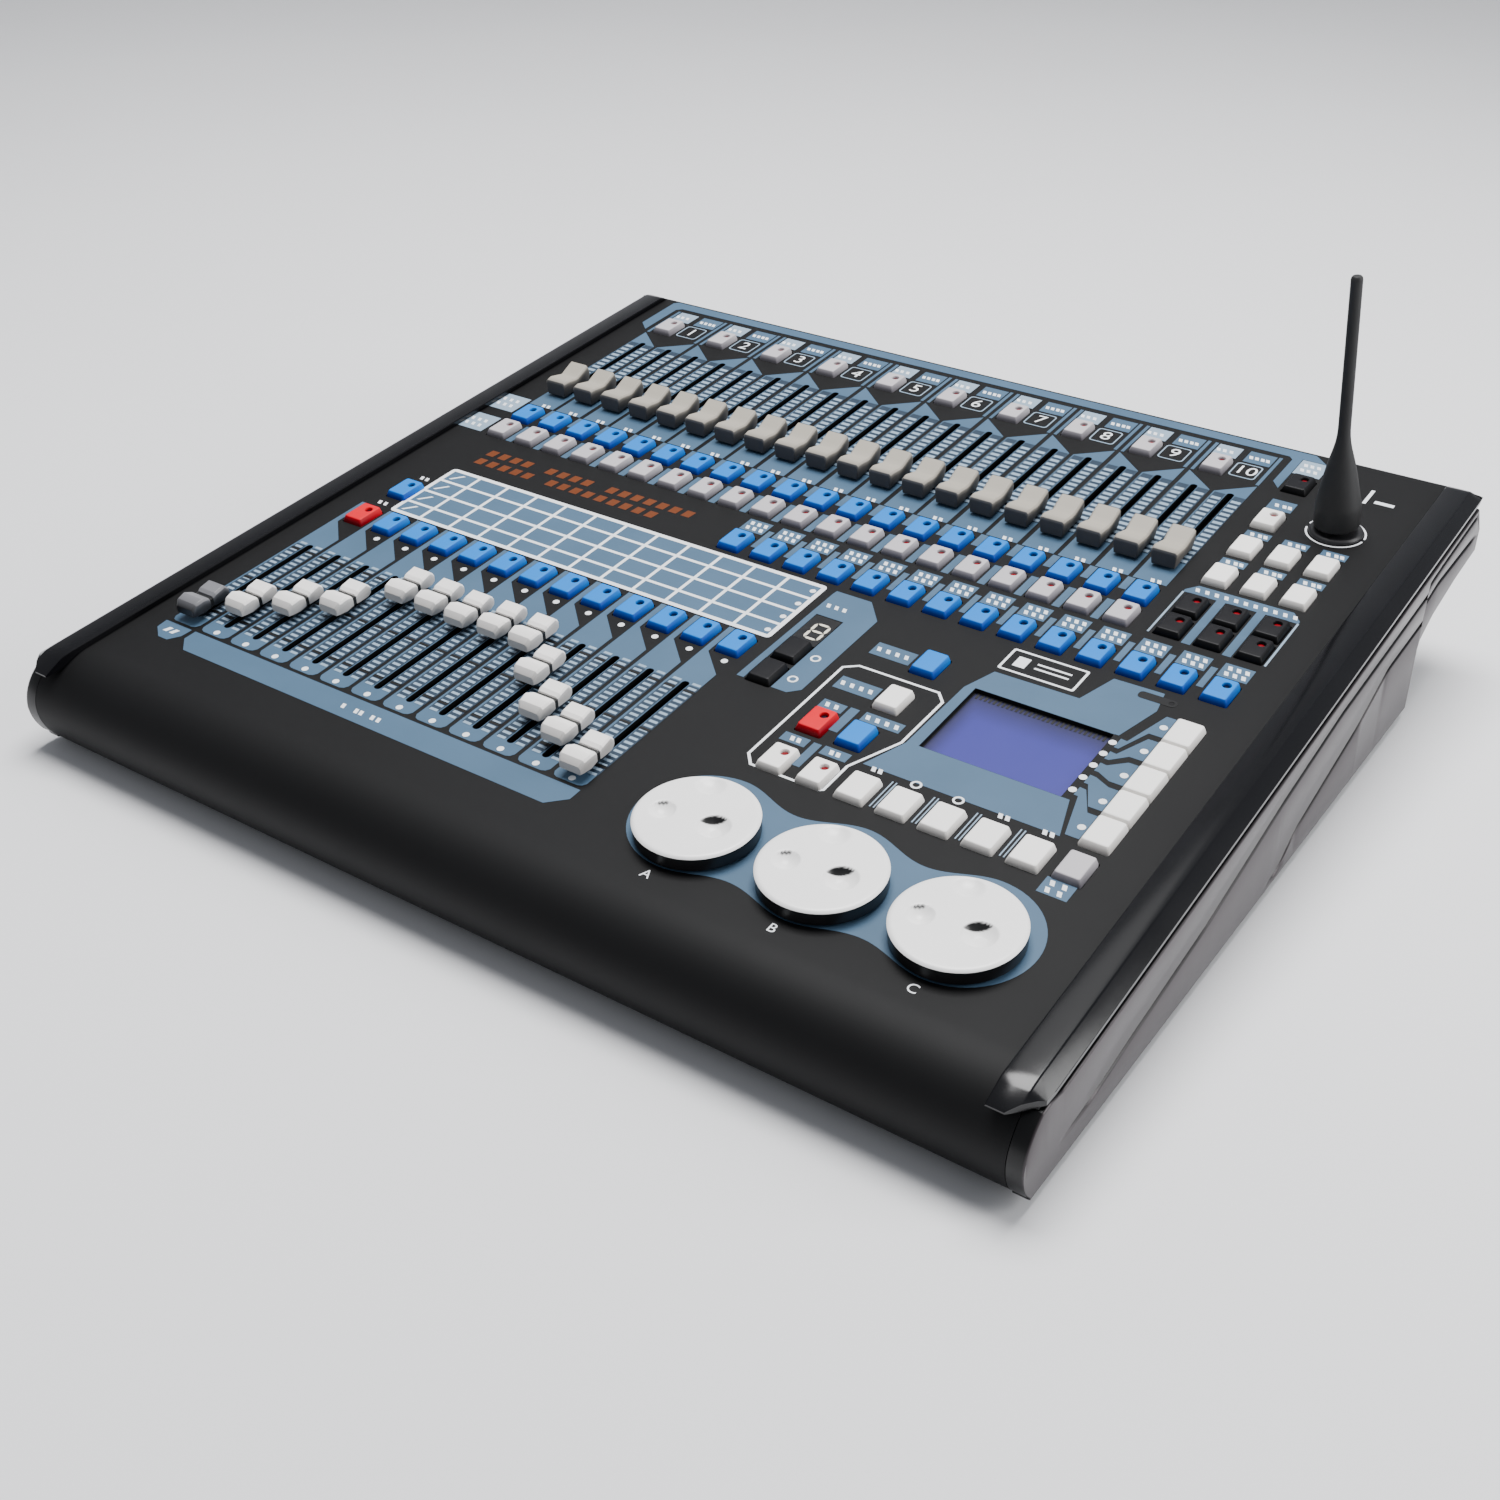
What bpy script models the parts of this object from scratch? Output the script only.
"""Lighting control desk: a sloping panel of faders, keys and wheels between two side cheeks.

Metres, +Z up, +X to the operator's right, +Y away from the operator. The origin is on the table under the
middle of the desk. Most places are counted in pitches, the spacing of neighbouring faders, in the panel's
own frame: x along the rows of keys, y up the slope, z off the panel's face.
"""

import math

import bmesh
import bpy
from mathutils import Matrix, Vector

for leftover in list(bpy.data.objects):
    bpy.data.objects.remove(leftover)

# Driving dimensions
PITCH = 0.019
TILT = math.radians(6)
GAP = 0.016  # 0.3 mm between touching pieces
CENTRE_X = 10.975
HALF_WIDTH = 13.375
PANEL_HEIGHT = 4.02  # of the panel frame's origin above the table
FRONT_TO_ORIGIN = 3.575  # moves the panel frame back, so that the desk's middle is over the origin

SHEET = 0.105
TRAY_SHEET = 0.08
CHEEK_THICK = 0.35
PANEL_BACK = 8.42
RAIL_BACK = 8.15
NOSE_CREASE = -14.75
NOSE_REACH = 1.52
NOSE_DROP_UPPER = 1.2
NOSE_DROP_LOWER = 1.45
NOSE_SWEEP = 130
TRAY_FRONT = (-15.8, -2.16)
TRAY_BACK_Y = 4.35
WALL_Y = 4.5
HOOD_Z = -1.79

RAIL_WIDTH = 0.9
RAIL_TOP = 0.16
RAIL_LOW = -0.14
RAIL_FRONT = -16.1

KEY_BASE = (0.64, 0.84)
KEY_TOP = (0.52, 0.76)
KEY_RISE = 0.16
KEY_HOLE_ROOM = 0.05
KEY_TO_WINDOW = (0.08, 0.165)  # from a key's middle to the indicator window in its top
WEB_TOP = -0.20
WEB_THICK = 0.06
WEB_REACH = 0.30

SLOT_HALF = (0.09, 1.94)
FADER_THROW = 3.158  # 60 mm
UPPER_SLOT_X = -0.13
UPPER_SLOT_Y = 3.49
LOWER_SLOT_X = -0.25
LOWER_SLOT_Y = -10.54
# Where each lower fader stands, from left to right
LOWER_FADERS_Y = (
    -12.1, -11.46, -10.86, -10.25, -9.04, -9.06, -9.11, -9.06, -9.1, -10.06, -11.07, -11.51, -12.1
)  # fmt: skip

WHEEL_CENTRES = (15.06, 18.07, 21.08)
WHEEL_Y = -12.79
WHEEL_RADIUS = 1.332
WHEEL_TOP = 0.42
WHEEL_BOTTOM = 0.04

DISPLAY_LOW = (17.45, -8.0)
DISPLAY_HIGH = (20.8, -5.52)

ANTENNA_BASE = (21.82, 4.87)
ANTENNA_LENGTH = 6.59
ANTENNA_LEAN = math.radians(4.2)

SOCKET_X = (15.6, 18.2)
SOCKET_Z = -3.2
INLET_X = 3.4
USB_X = 8.6


def empty(name, location, turn):
    """A parent that places the pieces modelled in its frame."""
    frame = bpy.data.objects.new(name, None)
    frame.location = location
    frame.rotation_euler = (turn, 0, 0)
    bpy.context.scene.collection.objects.link(frame)
    return frame


panel_place = Vector((-CENTRE_X, FRONT_TO_ORIGIN, PANEL_HEIGHT)) * PITCH
panel_frame = empty("panel_frame", panel_place, TILT)
table_frame = empty("table_frame", (0, 0, 0), 0)


def finish(name, colour, roughness, metallic=0.0):
    """A Principled material with one colour."""
    material = bpy.data.materials.new(name)
    material.use_nodes = True
    shader = material.node_tree.nodes["Principled BSDF"]
    shader.inputs["Base Color"].default_value = (*colour, 1)
    shader.inputs["Roughness"].default_value = roughness
    shader.inputs["Metallic"].default_value = metallic
    return material


BLACK_PAINT = finish("black_painted_steel", (0.013, 0.013, 0.015), 0.45)
GREY_STEEL = finish("grey_painted_metal", (0.15, 0.14, 0.14), 0.35, 0.4)
GLOSS_BLACK = finish("gloss_black_moulding", (0.01, 0.01, 0.012), 0.15)
ZINC = finish("zinc_plated_steel", (0.45, 0.45, 0.43), 0.4, 1.0)
BOARD_GREEN = finish("circuit_board", (0.02, 0.12, 0.05), 0.5)
BLUE_CAP = finish("blue_key_cap", (0.0, 0.26, 1.0), 0.4)
RED_CAP = finish("red_key_cap", (0.65, 0.01, 0.02), 0.4)
WHITE_CAP = finish("white_cap", (0.88, 0.85, 0.82), 0.4)
GREY_CAP = finish("grey_cap", (0.55, 0.53, 0.54), 0.45)
STONE_CAP = finish("stone_grey_cap", (0.36, 0.34, 0.3), 0.5)
BLACK_CAP = finish("black_cap", (0.02, 0.02, 0.022), 0.45)
GLASS = finish("display_glass", (0.1, 0.11, 0.4), 0.1)
RUBBER = finish("black_rubber", (0.015, 0.015, 0.015), 0.8)
BLACK_PLASTIC = finish("black_moulding", (0.02, 0.02, 0.02), 0.5)


def add_object(name, shape, material, frame=panel_frame, origin=(0, 0, 0)):
    """An object of this bmesh, counted in pitches, with its origin at a point of the parent's frame."""
    place = Vector(origin)
    bmesh.ops.translate(shape, vec=-place, verts=shape.verts)
    bmesh.ops.scale(shape, vec=(PITCH, PITCH, PITCH), verts=shape.verts)
    bmesh.ops.recalc_face_normals(shape, faces=shape.faces)
    mesh = bpy.data.meshes.new(name)
    shape.to_mesh(mesh)
    shape.free()
    mesh.materials.append(material)
    made = bpy.data.objects.new(name, mesh)
    made.parent = frame
    made.location = place * PITCH
    bpy.context.scene.collection.objects.link(made)
    return made


def boolean(target, shape, operation):
    """Cuts the shape from the target, or joins it on, with a hidden helper object."""
    helper = add_object(f"{target.name}_{operation.lower()}", shape, target.data.materials[0], target.parent)
    helper.hide_render = True
    helper.display_type = "WIRE"
    modifier = target.modifiers.new(operation, "BOOLEAN")
    modifier.operation = operation
    modifier.object = helper
    modifier.solver = "EXACT"


def cut(target, shape):
    boolean(target, shape, "DIFFERENCE")


def join(target, shape):
    boolean(target, shape, "UNION")


def block(shape, low, high):
    """A box between two corners."""
    middle = (Vector(low) + Vector(high)) / 2
    size = Vector(high) - Vector(low)
    bmesh.ops.create_cube(shape, size=1, matrix=Matrix.Translation(middle) @ Matrix.Diagonal((*size, 1)))
    return shape


def prism(shape, outline, axis, start, end):
    """The outline drawn across one axis and carried along it: (y, z) for x, (x, z) for y, (x, y) for z."""

    def point(a, b, along):
        return {"x": (along, a, b), "y": (a, along, b), "z": (a, b, along)}[axis]

    first = [shape.verts.new(point(a, b, start)) for a, b in outline]
    last = [shape.verts.new(point(a, b, end)) for a, b in outline]
    shape.faces.new(first)
    shape.faces.new(last)
    for i, corner in enumerate(first):
        j = (i + 1) % len(first)
        shape.faces.new((corner, first[j], last[j], last[i]))
    return shape


def turned(shape, profile, centre, sides):
    """A solid turned about an upright axis through centre, from (radius, height) points, bottom to top."""
    rings = []
    for radius, height in profile:
        ring = []
        for i in range(sides):
            turn = math.tau * i / sides
            x = centre[0] + radius * math.cos(turn)
            y = centre[1] + radius * math.sin(turn)
            ring.append(shape.verts.new((x, y, height)))
        rings.append(ring)
    shape.faces.new(rings[0])
    shape.faces.new(rings[-1])
    for low, high in zip(rings, rings[1:]):
        for i in range(sides):
            j = (i + 1) % sides
            shape.faces.new((low[i], low[j], high[j], high[i]))
    return shape


def bent_sheet(outer, thick):
    """The outline of a bent sheet: its outer line, and the same line moved in by its thickness."""
    points = [Vector(p) for p in outer]
    normals = []
    for a, b in zip(points, points[1:]):
        along = (b - a).normalized()
        normals.append(Vector((-along.y, along.x)))
    inner = []
    for i, point in enumerate(points):
        before = normals[max(i - 1, 0)]
        after = normals[min(i, len(normals) - 1)]
        middle = (before + after).normalized()
        inner.append(point + middle * (thick / middle.dot(after)))
    return [tuple(p) for p in points + inner[::-1]]


def across(side, inset):
    """The x of a point that lies this far in from the desk's outer face, side -1 left and 1 right."""
    return CENTRE_X + side * (HALF_WIDTH - inset)


# Key places, as the middle of each cap's base. The rows are even; the blocks at the right are by hand.
def key_row(first_window_x, window_y, count, step=1.0):
    """The middles of a row of keys, from the place of the first one's indicator window."""
    dx, dy = KEY_TO_WINDOW
    return [(first_window_x + i * step - dx, window_y - dy) for i in range(count)]


SCENE_KEYS = [(20.22 + 0.97 * column, 3.0 - 1.52 * row) for row in range(2) for column in range(3)]
DARK_KEYS = [(20.17 + 0.985 * column, -0.12 - 0.97 * row) for row in range(2) for column in range(3)]
MENU_ROW = [(17.15 + i, -10.0) for i in range(5)]
SOFT_COLUMN = [(22.1, -4.92 - 0.955 * i) for i in range(5)]
KEY_BANKS = {
    "upper_key_row": (key_row(0, 0, 20), BLUE_CAP),
    "middle_key_row": (key_row(0, -1.02, 20), GREY_CAP),
    "lower_key_row": (key_row(9.26, -2.83, 14, 0.995), BLUE_CAP),
    "flash_keys": (key_row(0.94, -6.67, 12) + [(-0.08, -5.26)], BLUE_CAP),
    "blackout_key": (key_row(-0.06, -6.67, 1), RED_CAP),
    "scene_group_keys": (key_row(0.01, 6.8, 10, 2.0), GREY_CAP),
    "page_and_scene_keys": (SCENE_KEYS + [(20.2, 4.53), (20.2, 6.6)], WHITE_CAP),
    "function_keys": (DARK_KEYS, BLACK_CAP),
    "menu_keys": (MENU_ROW + SOFT_COLUMN + [(22.08, -9.95)], WHITE_CAP),
    "program_keys": (
        [(16.15, -5.3), (16.15, -6.9), (15.15, -8.45), (16.15, -8.45), (15.15, -10.0), (16.15, -10.0)]
        + [(13.13, -6.4), (13.13, -7.42)],
        WHITE_CAP,
    ),
}
# The webs that tie the keys of one bank together under the panel, as (x, y) corners
WEB_STRIPS = {
    "flash_keys": [(0.54, -7.1, 12.15, -6.6), (-0.34, -5.6, 0.84, -5.1), (0.54, -7.1, 0.84, -5.1)],
    "page_and_scene_keys": [(19.9, 1.13, 20.5, 6.8), (19.9, 2.7, 22.4, 3.2), (19.9, 1.2, 22.4, 1.7)],
    "function_keys": [(19.9, -1.6, 22.4, -0.05)],
    "menu_keys": [(16.9, -10.25, 22.4, -9.75), (21.8, -10.25, 22.35, -4.65)],
    "program_keys": [
        (15.9, -10.25, 16.4, -5.05), (14.9, -10.25, 16.4, -9.75), (14.9, -8.7, 16.4, -8.2),
        (12.95, -6.6, 16.4, -6.2), (12.95, -7.75, 13.45, -6.2),
    ],
}  # fmt: skip

# Shell ---------------------------------------------------------------------------------------------------


def full_width_sheet(name, outer, thick):
    """Painted sheet steel, bent along this line and wide enough to reach both cheeks."""
    inset = CHEEK_THICK + GAP
    shape = prism(bmesh.new(), bent_sheet(outer, thick), "x", across(-1, inset), across(1, inset))
    return add_object(name, shape, BLACK_PAINT)


def nose_line():
    """The rolled front: a quarter ellipse from the crease, then a deeper one tucking under."""
    line = []
    for degrees in range(0, NOSE_SWEEP + 1, 13):
        turn = math.radians(degrees)
        drop = NOSE_DROP_UPPER if degrees <= 90 else NOSE_DROP_LOWER
        line.append(
            (NOSE_CREASE - NOSE_REACH * math.sin(turn), -NOSE_DROP_UPPER + drop * math.cos(turn))
        )
    return line


panel_outer = nose_line()[::-1] + [(PANEL_BACK, 0), (8.58, -0.1), (8.83, -1.12), (8.83, -1.66)]
top_panel = full_width_sheet("top_panel", panel_outer, -SHEET)

holes = bmesh.new()
hole_half = ((KEY_BASE[0] + KEY_HOLE_ROOM) / 2, (KEY_BASE[1] + KEY_HOLE_ROOM) / 2)
HOLE_LOW, HOLE_HIGH = -0.3, 0.3
soft_low, soft_high = SOFT_COLUMN[-1], SOFT_COLUMN[0]
for centres, _ in KEY_BANKS.values():
    for x, y in centres:
        if (x, y) not in SOFT_COLUMN:
            block(
                holes,
                (x - hole_half[0], y - hole_half[1], HOLE_LOW),
                (x + hole_half[0], y + hole_half[1], HOLE_HIGH),
            )
# The five soft keys stand side by side in one long opening
block(
    holes,
    (soft_low[0] - hole_half[0], soft_low[1] - hole_half[1] - 0.06, HOLE_LOW),
    (soft_high[0] + hole_half[0], soft_high[1] + hole_half[1] + 0.06, HOLE_HIGH),
)
for first_x, middle_y, count in ((UPPER_SLOT_X, UPPER_SLOT_Y, 20), (LOWER_SLOT_X, LOWER_SLOT_Y, 13)):
    for i in range(count):
        x = first_x + i
        block(
            holes,
            (x - SLOT_HALF[0], middle_y - SLOT_HALF[1], HOLE_LOW),
            (x + SLOT_HALF[0], middle_y + SLOT_HALF[1], HOLE_HIGH),
        )
block(holes, (*DISPLAY_LOW, HOLE_LOW), (*DISPLAY_HIGH, HOLE_HIGH))
for x in WHEEL_CENTRES:
    turned(holes, [(0.22, HOLE_LOW), (0.22, HOLE_HIGH)], (x, WHEEL_Y), 16)
turned(holes, [(0.27, HOLE_LOW), (0.27, HOLE_HIGH)], ANTENNA_BASE, 16)
cut(top_panel, holes)

tray_slope = math.tan(TILT)
tray_back_z = TRAY_FRONT[1] - (TRAY_BACK_Y - TRAY_FRONT[0]) * tray_slope
tray_line = [(-15.62, -1.75), TRAY_FRONT, (TRAY_BACK_Y, tray_back_z), (TRAY_BACK_Y, tray_back_z + 0.35)]
full_width_sheet("bottom_tray", tray_line, TRAY_SHEET)

wall_line = [
    (WALL_Y + SHEET, tray_back_z + 0.02), (WALL_Y + SHEET, -2.5), (4.78, -2.22), (5.6, -1.95),
    (7.2, HOOD_Z - 0.02), (8.68, HOOD_Z),
]  # fmt: skip
rear_panel = full_width_sheet("rear_panel", wall_line, SHEET)

CHEEK_TOP = -0.34
CHEEK_LINE = [
    (8.35, CHEEK_TOP), (8.83, -1.12), (8.81, -1.79), (7.24, -1.81), (5.55, -1.98), (4.72, -2.26),
    (4.62, -2.5), (4.62, -4.26), (-15.95, -2.14),
]  # fmt: skip
nose_edge = [point for point in nose_line()[::-1] if point[1] < CHEEK_TOP]
for side, name in ((-1, "left_cheek"), (1, "right_cheek")):
    add_object(
        name,
        prism(
            bmesh.new(),
            CHEEK_LINE + nose_edge[1:] + [(-15.72, CHEEK_TOP)],
            "x",
            across(side, CHEEK_THICK),
            across(side, 0),
        ),
        GREY_STEEL,
    )

RAIL_LINE = [
    (PANEL_BACK, GAP), (NOSE_CREASE, GAP), (-15.2, -0.04), (-15.55, RAIL_LOW), (RAIL_FRONT + 0.1, RAIL_LOW),
    (RAIL_FRONT, -0.06), (-15.52, RAIL_TOP), (RAIL_BACK, RAIL_TOP),
]  # fmt: skip
for side, name in ((-1, "left_rail"), (1, "right_rail")):
    rail = add_object(
        name,
        prism(bmesh.new(), RAIL_LINE, "x", across(side, 0), across(side, RAIL_WIDTH)),
        GLOSS_BLACK,
    )
    join(
        rail,
        prism(
            bmesh.new(),
            [(8.2, RAIL_LOW), (-15.6, RAIL_LOW), (-15.6, RAIL_TOP - 0.05), (8.2, RAIL_TOP - 0.05)],
            "x",
            across(side, 0.02),
            across(side, CHEEK_THICK - GAP),
        ),
    )
    bevel = [(across(side, -0.05), 0.19), (across(side, 0.32), 0.19), (across(side, -0.05), -0.06)]
    cut(rail, prism(bmesh.new(), bevel, "y", -17, 9))

# Feet stand in the table's frame, where the tray is level
FOOT_TOP = 0.2
FOOT_PLACES = [(-11.2, -10.6), (11.2, -10.6), (-11.2, 6.6), (11.2, 6.6)]
for i, centre in enumerate(FOOT_PLACES, 1):
    add_object(
        f"foot_{i}",
        turned(bmesh.new(), [(0.52, 0), (0.6, 0.05), (0.6, FOOT_TOP)], centre, 20),
        RUBBER,
        table_frame,
        (*centre, 0),
    )

# Inside ---------------------------------------------------------------------------------------------------

BOARD_TOP = -0.67
BOARD_THICK = 0.084
ENCODER_TOP = -0.36
main_outline = [
    (-0.7, -8.0), (12.6, -8.0), (12.6, -14.4), (22.9, -14.4), (22.9, 0.9), (-0.7, 0.9),
]  # fmt: skip
main_board = add_object(
    "main_board",
    prism(bmesh.new(), main_outline, "z", BOARD_TOP - BOARD_THICK, BOARD_TOP),
    BOARD_GREEN,
)
encoders = bmesh.new()
for x in WHEEL_CENTRES:
    turned(encoders, [(0.42, BOARD_TOP - 0.04), (0.42, ENCODER_TOP)], (x, WHEEL_Y), 12)
join(main_board, encoders)

TRACK_TOP = -0.27
TRACK_BOARD = (-0.95, -0.866)
TRACK_HALF = (0.24, 1.98)


def fader_board(name, first_x, centre_y, count):
    """A board with one slide control's housing under each fader."""
    board = add_object(
        name,
        block(
            bmesh.new(),
            (first_x - 0.42, centre_y - 2.1, TRACK_BOARD[0]),
            (first_x + count - 1 + 0.42, centre_y + 2.1, TRACK_BOARD[1]),
        ),
        BOARD_GREEN,
    )
    tracks = bmesh.new()
    for i in range(count):
        x = first_x + i
        block(
            tracks,
            (x - TRACK_HALF[0], centre_y - TRACK_HALF[1], TRACK_BOARD[1] - 0.04),
            (x + TRACK_HALF[0], centre_y + TRACK_HALF[1], TRACK_TOP),
        )
    join(board, tracks)


fader_board("upper_fader_board", UPPER_SLOT_X, UPPER_SLOT_Y, 20)
fader_board("lower_fader_board", LOWER_SLOT_X, LOWER_SLOT_Y, 13)

add_object(
    "power_supply",
    block(bmesh.new(), (-9.4, -1.6, 0.32), (-4.6, 2.2, 1.9)),
    ZINC,
    table_frame,
)

add_object(
    "display_module",
    block(
        bmesh.new(),
        (DISPLAY_LOW[0] - 0.15, DISPLAY_LOW[1] - 0.2, -0.6),
        (DISPLAY_HIGH[0] + 0.15, DISPLAY_HIGH[1] + 0.2, -0.31),
    ),
    BOARD_GREEN,
)
add_object(
    "display_window",
    block(
        bmesh.new(),
        (DISPLAY_LOW[0] - 0.1, DISPLAY_LOW[1] - 0.15, -0.29),
        (DISPLAY_HIGH[0] + 0.1, DISPLAY_HIGH[1] + 0.15, -0.21),
    ),
    GLASS,
)

# Sockets in the rear wall ---------------------------------------------------------------------------------

FLANGE_BACK = WALL_Y + SHEET + GAP
FLANGE_THICK = 0.09
SOCKET_FLANGE = (0.68, 0.72)
wall_holes = bmesh.new()


def ring_outline(x, z, radius, sides):
    return [
        (x + radius * math.cos(math.tau * i / sides), z + radius * math.sin(math.tau * i / sides))
        for i in range(sides)
    ]


for x, name in zip(SOCKET_X, ("output_socket_a", "output_socket_b")):
    socket = add_object(
        name,
        block(
            bmesh.new(),
            (x - SOCKET_FLANGE[0], FLANGE_BACK, SOCKET_Z - SOCKET_FLANGE[1]),
            (x + SOCKET_FLANGE[0], FLANGE_BACK + FLANGE_THICK, SOCKET_Z + SOCKET_FLANGE[1]),
        ),
        BLACK_PLASTIC,
    )
    join(socket, prism(bmesh.new(), ring_outline(x, SOCKET_Z, 0.6, 20), "y", 3.55, FLANGE_BACK + 0.03))
    cut(socket, prism(bmesh.new(), ring_outline(x, SOCKET_Z, 0.47, 20), "y", 4.05, 5))
    prism(wall_holes, ring_outline(x, SOCKET_Z, 0.62, 20), "y", 4, 5)

INLET_HALF = (1.55, 0.7)
inlet = add_object(
    "mains_inlet",
    block(
        bmesh.new(),
        (INLET_X - INLET_HALF[0], FLANGE_BACK, SOCKET_Z - INLET_HALF[1]),
        (INLET_X + INLET_HALF[0], FLANGE_BACK + FLANGE_THICK, SOCKET_Z + INLET_HALF[1]),
    ),
    BLACK_PLASTIC,
)
INLET_BODY = (1.35, 0.58)
join(
    inlet,
    block(
        bmesh.new(),
        (INLET_X - INLET_BODY[0], 3.4, SOCKET_Z - INLET_BODY[1]),
        (INLET_X + INLET_BODY[0], FLANGE_BACK + 0.03, SOCKET_Z + INLET_BODY[1]),
    ),
)
PLUG_X = INLET_X - 0.6
ROCKER_X = INLET_X + 0.78
plug_hollow = block(
    bmesh.new(), (PLUG_X - 0.62, 3.75, SOCKET_Z - 0.42), (PLUG_X + 0.62, 5, SOCKET_Z + 0.42)
)
block(plug_hollow, (ROCKER_X - 0.32, 4.05, SOCKET_Z - 0.53), (ROCKER_X + 0.32, 5, SOCKET_Z + 0.53))
cut(inlet, plug_hollow)
block(
    wall_holes,
    (INLET_X - INLET_BODY[0] - 0.02, 4, SOCKET_Z - INLET_BODY[1] - 0.02),
    (INLET_X + INLET_BODY[0] + 0.02, 5, SOCKET_Z + INLET_BODY[1] + 0.02),
)

ROCKER_HINGE = (ROCKER_X, 4.42, SOCKET_Z)
add_object(
    "power_rocker",
    prism(
        bmesh.new(),
        [
            (4.3, SOCKET_Z - 0.3), (4.62, SOCKET_Z - 0.42), (4.86, SOCKET_Z - 0.4), (4.72, SOCKET_Z),
            (4.7, SOCKET_Z + 0.42), (4.55, SOCKET_Z + 0.42), (4.3, SOCKET_Z + 0.3),
        ],
        "x",
        ROCKER_X - 0.28,
        ROCKER_X + 0.28,
    ),
    BLACK_CAP,
    panel_frame,
    ROCKER_HINGE,
)  # fmt: skip

USB_HALF = (0.32, 0.3)
USB_HOLLOW = (0.24, 0.22)
usb = add_object(
    "usb_socket",
    block(
        bmesh.new(),
        (USB_X - USB_HALF[0], 3.8, SOCKET_Z - USB_HALF[1]),
        (USB_X + USB_HALF[0], WALL_Y + SHEET + 0.03, SOCKET_Z + USB_HALF[1]),
    ),
    ZINC,
)
cut(
    usb,
    block(
        bmesh.new(),
        (USB_X - USB_HOLLOW[0], 3.95, SOCKET_Z - USB_HOLLOW[1]),
        (USB_X + USB_HOLLOW[0], 5, SOCKET_Z + USB_HOLLOW[1]),
    ),
)
block(
    wall_holes,
    (USB_X - USB_HALF[0] - 0.02, 4, SOCKET_Z - USB_HALF[1] - 0.02),
    (USB_X + USB_HALF[0] + 0.02, 5, SOCKET_Z + USB_HALF[1] + 0.02),
)
cut(rear_panel, wall_holes)

# Antenna --------------------------------------------------------------------------------------------------

COLLAR_TOP = 0.12
collar = add_object(
    "antenna_collar",
    turned(bmesh.new(), [(0.66, GAP), (0.66, 0.07), (0.6, COLLAR_TOP)], ANTENNA_BASE, 24),
    BLACK_PLASTIC,
    panel_frame,
    (*ANTENNA_BASE, 0),
)
cut(collar, turned(bmesh.new(), [(0.27, -0.2), (0.27, 0.4)], ANTENNA_BASE, 16))
ANTENNA_PROFILE = [
    (0.16, -0.45), (0.16, 0.2), (0.5, 0.2), (0.56, 0.3), (0.56, 0.75), (0.5, 1.1), (0.33, 1.9), (0.2, 2.35),
    (0.15, 2.7), (0.14, 6.5), (0.1, ANTENNA_LENGTH),
]  # fmt: skip
antenna = add_object(
    "antenna",
    turned(bmesh.new(), ANTENNA_PROFILE, ANTENNA_BASE, 16),
    RUBBER,
    panel_frame,
    (*ANTENNA_BASE, 0),
)
antenna.rotation_euler = (0, -ANTENNA_LEAN, 0)

# Wheels ---------------------------------------------------------------------------------------------------

WHEEL_PROFILE = [
    (0.15, ENCODER_TOP + 0.03), (0.15, WHEEL_BOTTOM), (WHEEL_RADIUS - 0.06, WHEEL_BOTTOM),
    (WHEEL_RADIUS, WHEEL_BOTTOM + 0.08), (WHEEL_RADIUS, WHEEL_TOP - 0.12), (WHEEL_RADIUS - 0.08, WHEEL_TOP),
]  # fmt: skip
for x, letter in zip(WHEEL_CENTRES, "abc"):
    add_object(
        f"wheel_{letter}",
        turned(bmesh.new(), WHEEL_PROFILE, (x, WHEEL_Y), 40),
        WHITE_CAP,
        panel_frame,
        (x, WHEEL_Y, 0),
    )

# Faders ---------------------------------------------------------------------------------------------------

CAP_HALF_WIDTH = 0.33
CAP_LOW = 0.08
CAP_SIDE = [
    (-0.6, CAP_LOW), (0.58, CAP_LOW), (0.6, 0.46), (0.52, 0.56), (0.16, 0.54), (0.02, 0.4),
    (-0.12, 0.52), (-0.46, 0.55), (-0.62, 0.46),
]  # fmt: skip
CARRIAGE_TOP = -0.13
CARRIAGE_LOW = -0.23
CARRIAGE_HALF = (0.2, 0.3)


def fader(name, places, material):
    """Caps at these places on thin stems through the slots, on a carriage under the panel that ties them."""
    xs = [x for x, _ in places]
    y = places[0][1]
    made = add_object(
        name,
        block(
            bmesh.new(),
            (min(xs) - CARRIAGE_HALF[0], y - CARRIAGE_HALF[1], CARRIAGE_LOW),
            (max(xs) + CARRIAGE_HALF[0], y + CARRIAGE_HALF[1], CARRIAGE_TOP),
        ),
        material,
    )
    stems = bmesh.new()
    caps = bmesh.new()
    for x in xs:
        block(stems, (x - 0.05, y - 0.16, CARRIAGE_LOW + 0.03), (x + 0.05, y + 0.16, CAP_LOW + 0.05))
        outline = [(y + a, b) for a, b in CAP_SIDE]
        prism(caps, outline, "x", x - CAP_HALF_WIDTH, x + CAP_HALF_WIDTH)
    join(made, stems)
    join(made, caps)


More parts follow.
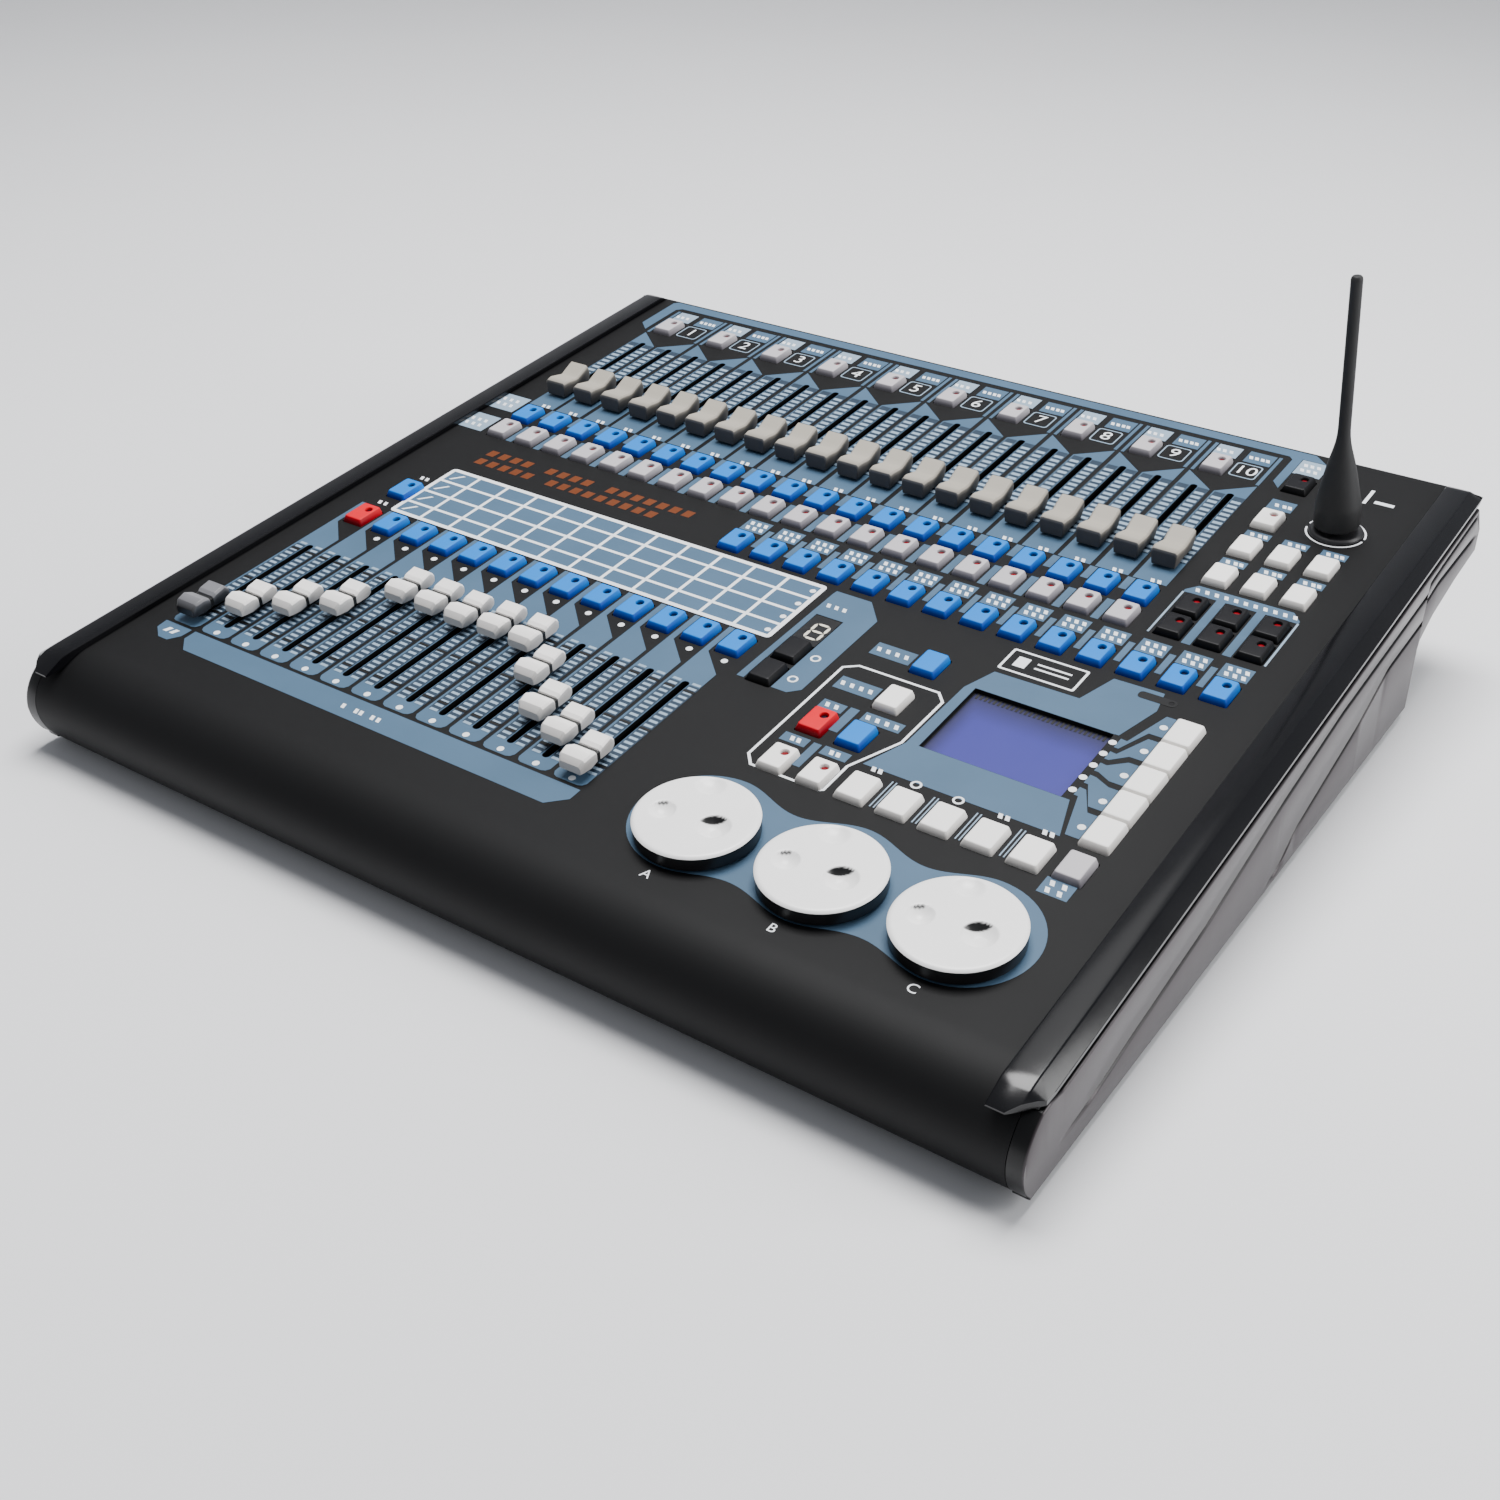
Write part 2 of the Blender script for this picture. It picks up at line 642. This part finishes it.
upper_rest_y = UPPER_SLOT_Y - FADER_THROW / 2
for pair in range(10):
    first = UPPER_SLOT_X + 2 * pair
    fader(f"upper_faders_{pair + 1:02d}", [(first, upper_rest_y), (first + 1, upper_rest_y)], STONE_CAP)
for i, y in enumerate(LOWER_FADERS_Y):
    material = BLACK_CAP if i == 0 else WHITE_CAP
    fader(f"lower_fader_{i + 1:02d}", [(LOWER_SLOT_X + i, y)], material)

# Keys -----------------------------------------------------------------------------------------------------


def key_cap(shape, x, y):
    """A cap with upright sides through the panel and a top that narrows, most at the front."""
    half_x, half_y = KEY_BASE[0] / 2, KEY_BASE[1] / 2
    top_x = KEY_TOP[0] / 2
    back, front = half_y - 0.02, half_y - 0.02 - KEY_TOP[1]
    levels = [
        (WEB_TOP - 0.03, half_x, -half_y, half_y),
        (0.02, half_x, -half_y, half_y),
        (KEY_RISE, top_x, front, back),
    ]
    rings = []
    for z, reach, low_y, high_y in levels:
        corners = ((-reach, low_y), (reach, low_y), (reach, high_y), (-reach, high_y))
        rings.append([shape.verts.new((x + a, y + b, z)) for a, b in corners])
    shape.faces.new(rings[0])
    shape.faces.new(rings[-1])
    for low, high in zip(rings, rings[1:]):
        for i in range(4):
            j = (i + 1) % 4
            shape.faces.new((low[i], low[j], high[j], high[i]))


for name, (centres, material) in KEY_BANKS.items():
    xs = [x for x, _ in centres]
    y = centres[0][1]
    strips = WEB_STRIPS.get(name, [(min(xs) - WEB_REACH, y - 0.25, max(xs) + WEB_REACH, y + 0.25)])
    first, *others = strips
    bank = add_object(
        name,
        block(bmesh.new(), (first[0], first[1], WEB_TOP - WEB_THICK), (first[2], first[3], WEB_TOP)),
        material,
    )
    for strip in others:
        join(
            bank,
            block(bmesh.new(), (strip[0], strip[1], WEB_TOP - WEB_THICK), (strip[2], strip[3], WEB_TOP)),
        )
    caps = bmesh.new()
    for x, key_y in centres:
        key_cap(caps, x, key_y)
    join(bank, caps)

for made in bpy.context.scene.objects:
    if made.type == "MESH" and made.name.startswith(("antenna", "wheel", "foot", "output_socket")):
        made.data.shade_smooth()
        made.data.set_sharp_from_angle(angle=math.radians(35))
